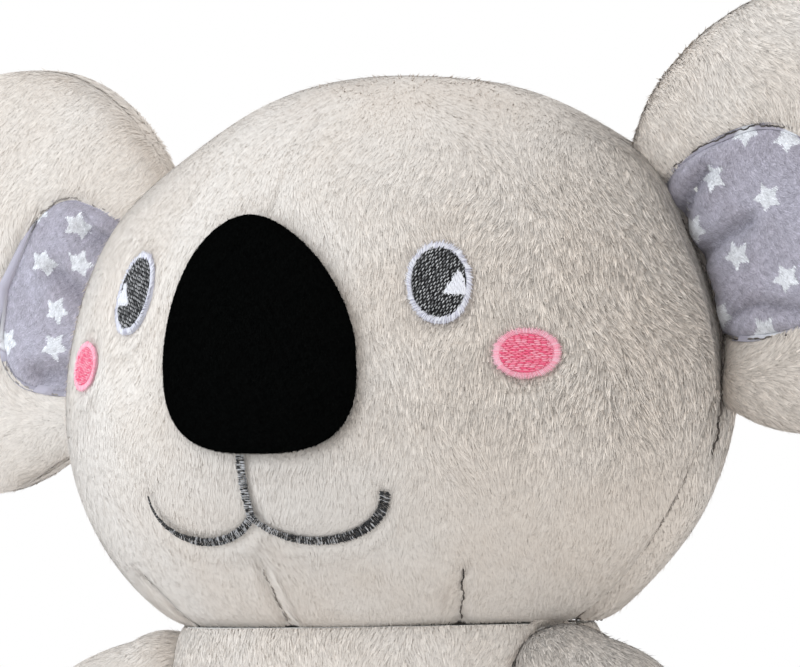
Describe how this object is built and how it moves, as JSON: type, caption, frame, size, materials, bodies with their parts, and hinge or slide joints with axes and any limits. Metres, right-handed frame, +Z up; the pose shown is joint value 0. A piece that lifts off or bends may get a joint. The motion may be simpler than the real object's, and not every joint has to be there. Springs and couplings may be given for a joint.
{
  "type": "plush koala toy",
  "caption": "Sitting plush koala with padded round ears, black nose and embroidered face; its head, ears, arms and legs move at their seams.",
  "frame": {"origin": "middle of the underside of the bounding box, on the plane that the toy sits on", "axes": "+X toward the toy's left ear, +Y toward its back, +Z up; the face looks along -Y"},
  "size_m": [0.412, 0.2182, 0.3024],
  "materials": {
    "beige_plush": "warm grey short-pile plush",
    "star_plush": "lavender grey short-pile plush printed with small white stars",
    "black_pile": "black very short velvet pile",
    "charcoal_thread": "charcoal embroidery thread",
    "white_thread": "white embroidery thread with a silky sheen",
    "pink_thread": "pink embroidery thread with a silky sheen",
    "wadding": "white polyester wadding"
  },
  "bodies": {
    "torso": {"body_front": "beige_plush", "body_back": "beige_plush", "seat_panel": "beige_plush", "body_filling": "wadding"},
    "head": {"head_front": "beige_plush", "head_back": "beige_plush", "head_filling": "wadding", "nose_cover": "black_pile", "nose_filling": "wadding", "mouth": "charcoal_thread", "eye_border_left": "white_thread", "eye_iris_left": "charcoal_thread", "eye_highlight_left": "white_thread", "cheek_border_left": "pink_thread", "cheek_fill_left": "pink_thread", "eye_border_right": "white_thread", "eye_iris_right": "charcoal_thread", "eye_highlight_right": "white_thread", "cheek_border_right": "pink_thread", "cheek_fill_right": "pink_thread"},
    "ear_left": {"ear_rim_left": "beige_plush", "ear_lining_left": "star_plush", "ear_back_left": "beige_plush", "ear_filling_left": "wadding"},
    "arm_left": {"arm_upper_left": "beige_plush", "arm_lower_left": "beige_plush", "arm_filling_left": "wadding"},
    "leg_left": {"leg_skin_left": "beige_plush", "leg_sole_left": "star_plush", "leg_filling_left": "wadding"},
    "ear_right": {"ear_rim_right": "beige_plush", "ear_lining_right": "star_plush", "ear_back_right": "beige_plush", "ear_filling_right": "wadding"},
    "arm_right": {"arm_upper_right": "beige_plush", "arm_lower_right": "beige_plush", "arm_filling_right": "wadding"},
    "leg_right": {"leg_skin_right": "beige_plush", "leg_sole_right": "star_plush", "leg_filling_right": "wadding"}
  },
  "joints": [
    {"name": "head_turn", "type": "hinge", "parent": "torso", "child": "head", "pos_m": [0, 0.0252, 0.118], "axis": [0, 0, 1], "range_deg": [-20, 20], "stiffness_Nm_per_rad": 0.6},
    {"name": "ear_fold_left", "type": "hinge", "parent": "head", "child": "ear_left", "pos_m": [0.11373, 0.04829, 0.22501], "axis": [-0.4028, -0.0566, 0.9135], "range_deg": [-35, 35], "stiffness_Nm_per_rad": 0.1},
    {"name": "ear_fold_right", "type": "hinge", "parent": "head", "child": "ear_right", "pos_m": [-0.11679, 0.04872, 0.21239], "axis": [0.4028, -0.0566, 0.9135], "range_deg": [-35, 35], "stiffness_Nm_per_rad": 0.1},
    {"name": "arm_swing_left", "type": "hinge", "parent": "torso", "child": "arm_left", "pos_m": [0.0685, 0.0112, 0.095], "axis": [-1, 0, 0], "range_deg": [-20, 80], "stiffness_Nm_per_rad": 0.1},
    {"name": "arm_swing_right", "type": "hinge", "parent": "torso", "child": "arm_right", "pos_m": [-0.0685, 0.0112, 0.095], "axis": [-1, 0, 0], "range_deg": [-20, 80], "stiffness_Nm_per_rad": 0.1},
    {"name": "leg_raise_left", "type": "hinge", "parent": "torso", "child": "leg_left", "pos_m": [0.043, -0.0398, 0.0215], "axis": [-1, 0, 0], "range_deg": [0, 36], "stiffness_Nm_per_rad": 0.1},
    {"name": "leg_raise_right", "type": "hinge", "parent": "torso", "child": "leg_right", "pos_m": [-0.043, -0.0398, 0.0215], "axis": [-1, 0, 0], "range_deg": [0, 36], "stiffness_Nm_per_rad": 0.1}
  ]
}
